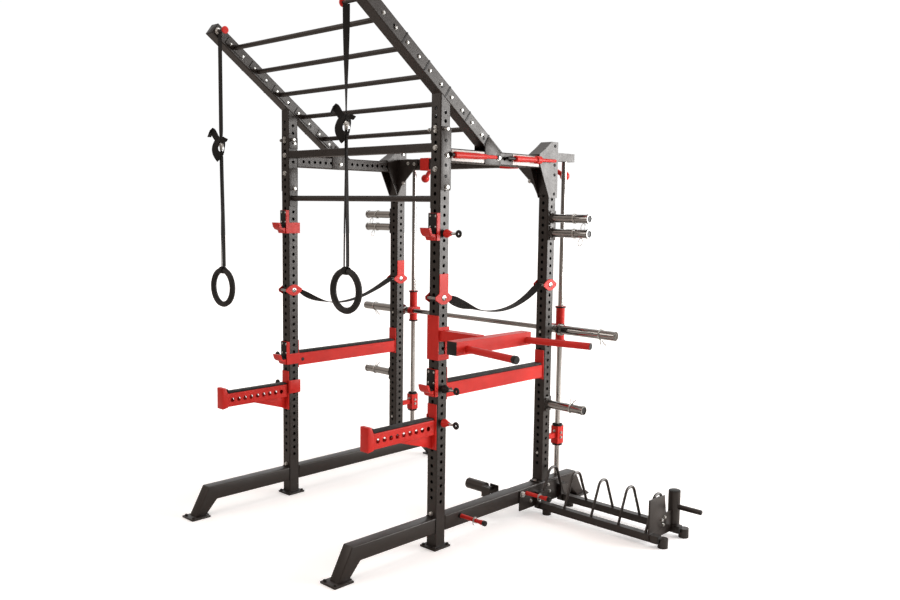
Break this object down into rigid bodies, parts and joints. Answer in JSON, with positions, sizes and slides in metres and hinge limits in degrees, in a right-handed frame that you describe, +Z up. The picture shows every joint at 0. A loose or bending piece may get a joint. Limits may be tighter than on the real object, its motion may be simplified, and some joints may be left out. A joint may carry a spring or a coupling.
{
  "type": "power cage",
  "caption": "Black power cage with red fittings: guided barbell, sloped climbing ladder, gymnastic rings, spotter arms, dip handles, plate rack, landmine.",
  "frame": {"origin": "on the floor under the middle of the overall outline", "axes": "+Z up; seen from the front +X is to the right, and +Y runs from the front to the back"},
  "size_m": [2.495, 1.92, 2.6025],
  "materials": {
    "frame_black": "satin powder coat",
    "plate_black": "satin powder coat on plate",
    "accent_red": "semi-gloss powder coat",
    "chrome": "bright plated",
    "webbing": "woven webbing",
    "ring_black": "fine matte grain"
  },
  "bodies": {
    "frame": {"base_rail_left": "frame_black", "base_rail_right": "frame_black", "corner_bracket_left": "plate_black", "corner_bracket_right": "plate_black", "dip_bar": "accent_red", "front_crossbeam": "frame_black", "guide_rod_left": "chrome", "guide_rod_right": "chrome", "jhook_lower_left": "accent_red", "jhook_lower_right": "accent_red", "jhook_upper_left": "accent_red", "jhook_upper_right": "accent_red", "ladder_beam_left": "frame_black", "ladder_beam_right": "frame_black", "plate_rack": "plate_black", "pullup_bar": "frame_black", "rear_crossmember": "frame_black", "rear_grip_bar": "accent_red", "rung_1": "frame_black", "rung_2": "frame_black", "rung_3": "frame_black", "rung_4": "frame_black", "rung_5": "frame_black", "safety_bar_left": "accent_red", "safety_bar_right": "accent_red", "safety_strap_left": "webbing", "safety_strap_right": "webbing", "side_beam_left": "frame_black", "side_beam_right": "frame_black", "spotter_arm_left": "accent_red", "spotter_arm_right": "accent_red", "storage_peg_lower_left": "chrome", "storage_peg_lower_right": "chrome", "storage_peg_upper_left": "chrome", "storage_peg_upper_right": "chrome", "strap_bracket_front_left": "accent_red", "strap_bracket_front_right": "accent_red", "strap_bracket_rear_left": "accent_red", "strap_bracket_rear_right": "accent_red", "upright_front_left": "frame_black", "upright_front_right": "frame_black", "upright_rear_left": "frame_black", "upright_rear_right": "frame_black"},
    "carriages": {"carriage_right": "accent_red", "carriage_left": "accent_red"},
    "smith_bar": {"smith_bar": "chrome"},
    "safety_stop_right": {"safety_stop_right": "accent_red"},
    "ring_strap_right": {"ring_strap_right": "webbing"},
    "ring_right": {"ring_right": "ring_black"},
    "spotter_pin_right": {"spotter_pin_right": "chrome"},
    "jhook_pin_upper_right": {"jhook_pin_upper_right": "chrome"},
    "jhook_pin_lower_right": {"jhook_pin_lower_right": "chrome"},
    "safety_stop_left": {"safety_stop_left": "accent_red"},
    "ring_strap_left": {"ring_strap_left": "webbing"},
    "ring_left": {"ring_left": "ring_black"},
    "spotter_pin_left": {"spotter_pin_left": "chrome"},
    "jhook_pin_upper_left": {"jhook_pin_upper_left": "chrome"},
    "jhook_pin_lower_left": {"jhook_pin_lower_left": "chrome"},
    "landmine_fork": {"landmine_fork": "plate_black"},
    "landmine_sleeve": {"landmine_sleeve": "plate_black"}
  },
  "joints": [
    {"name": "smith_carriage_slide", "type": "slide", "parent": "frame", "child": "carriages", "axis": [0, 0, 1], "range_m": [-0.45, 0.7]},
    {"name": "smith_bar_turn", "type": "hinge", "parent": "carriages", "child": "smith_bar", "pos_m": [-0.2475, 0.647, 1.006], "axis": [1, 0, 0], "range_deg": [-75, 0]},
    {"name": "safety_stop_right_slide", "type": "slide", "parent": "frame", "child": "safety_stop_right", "axis": [0, 0, 1], "range_m": [-0.15, 0.35]},
    {"name": "safety_stop_left_slide", "type": "slide", "parent": "frame", "child": "safety_stop_left", "axis": [0, 0, 1], "range_m": [-0.15, 0.35]},
    {"name": "ring_right_swing", "type": "hinge", "parent": "frame", "child": "ring_strap_right", "pos_m": [0.2225, -0.755, 2.5614], "axis": [1, 0, 0], "range_deg": [-25, 12]},
    {"name": "ring_right_tilt", "type": "hinge", "parent": "ring_strap_right", "child": "ring_right", "pos_m": [0.2225, -0.755, 1.381], "axis": [1, 0, 0], "range_deg": [-30, 30]},
    {"name": "ring_left_swing", "type": "hinge", "parent": "frame", "child": "ring_strap_left", "pos_m": [-0.7925, -0.755, 2.5614], "axis": [1, 0, 0], "range_deg": [-25, 12]},
    {"name": "ring_left_tilt", "type": "hinge", "parent": "ring_strap_left", "child": "ring_left", "pos_m": [-0.7925, -0.755, 1.326], "axis": [1, 0, 0], "range_deg": [-30, 30]},
    {"name": "jhook_pin_upper_right_pull", "type": "slide", "parent": "frame", "child": "jhook_pin_upper_right", "axis": [1, 0, 0], "range_m": [0, 0.02], "stiffness_N_per_m": 600},
    {"name": "jhook_pin_lower_right_pull", "type": "slide", "parent": "frame", "child": "jhook_pin_lower_right", "axis": [1, 0, 0], "range_m": [0, 0.02], "stiffness_N_per_m": 600},
    {"name": "spotter_pin_right_pull", "type": "slide", "parent": "frame", "child": "spotter_pin_right", "axis": [1, 0, 0], "range_m": [0, 0.02], "stiffness_N_per_m": 600},
    {"name": "jhook_pin_upper_left_pull", "type": "slide", "parent": "frame", "child": "jhook_pin_upper_left", "axis": [-1, 0, 0], "range_m": [0, 0.02], "stiffness_N_per_m": 600},
    {"name": "jhook_pin_lower_left_pull", "type": "slide", "parent": "frame", "child": "jhook_pin_lower_left", "axis": [-1, 0, 0], "range_m": [0, 0.02], "stiffness_N_per_m": 600},
    {"name": "spotter_pin_left_pull", "type": "slide", "parent": "frame", "child": "spotter_pin_left", "axis": [-1, 0, 0], "range_m": [0, 0.02], "stiffness_N_per_m": 600},
    {"name": "landmine_yaw", "type": "hinge", "parent": "frame", "child": "landmine_fork", "pos_m": [0.2575, 0.245, 0.114], "axis": [0, 0, 1], "range_deg": [-60, 60]},
    {"name": "landmine_pitch", "type": "hinge", "parent": "landmine_fork", "child": "landmine_sleeve", "pos_m": [0.2325, 0.245, 0.15], "axis": [0, 1, 0], "range_deg": [0, 80]}
  ]
}
